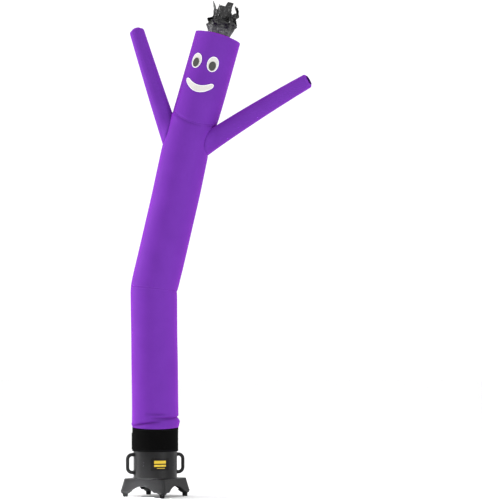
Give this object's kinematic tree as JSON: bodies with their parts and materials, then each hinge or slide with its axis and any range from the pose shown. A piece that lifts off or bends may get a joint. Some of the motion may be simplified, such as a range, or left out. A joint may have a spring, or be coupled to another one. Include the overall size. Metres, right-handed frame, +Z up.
{
  "type": "inflatable air dancer on blower",
  "caption": "Inflatable tube dancer with two arms, a plain smiling face and slit black hair, its black cuff strapped over the neck of a round moulded blower on four feet.",
  "frame": {"origin": "under the middle of the bounding box, on the surface that the blower's feet stand on", "axes": "+Z up; -Y is the side the picture looks at; +X is to the viewer's right, the way the dancer leans"},
  "size_m": [0.9454, 0.3834, 2.4762],
  "materials": {
    "purple_nylon": "bright purple lightweight nylon, smooth with a soft sheen",
    "hair_cloth": "black lightweight nylon, crumpled",
    "white_cloth": "white cloth with a satin-stitched edge",
    "grey_cloth": "mid-grey cloth",
    "black_cloth": "black woven hook-and-loop cloth, matt",
    "moulded_plastic": "dark grey polyethylene, moulded with a grained skin",
    "rubber": "black rubber, matt",
    "hook_tape": "black hook tape, ribbed",
    "label_film": "black film label, blank but for plain bars",
    "zinc_screw": "blackened steel screw heads"
  },
  "bodies": {
    "root": {"lower_body": "purple_nylon", "torso": "purple_nylon", "head": "purple_nylon", "head_top": "purple_nylon", "arm_left": "purple_nylon", "arm_right": "purple_nylon", "arm_end_left": "purple_nylon", "arm_end_right": "purple_nylon", "hair": "hair_cloth", "eye_left": "white_cloth", "eye_right": "white_cloth", "mouth": "white_cloth", "pupil_left": "grey_cloth", "pupil_right": "grey_cloth", "cuff": "black_cloth", "cuff_tab": "black_cloth", "blower_housing": "moulded_plastic", "handle_left": "moulded_plastic", "handle_right": "moulded_plastic", "hook_tape": "hook_tape", "label": "label_film", "foot_front": "rubber", "foot_right": "rubber", "foot_back": "rubber", "foot_left": "rubber", "screw_1": "zinc_screw", "screw_2": "zinc_screw", "screw_3": "zinc_screw", "screw_4": "zinc_screw", "screw_5": "zinc_screw", "screw_6": "zinc_screw", "screw_7": "zinc_screw", "screw_8": "zinc_screw"}
  },
  "joints": []
}
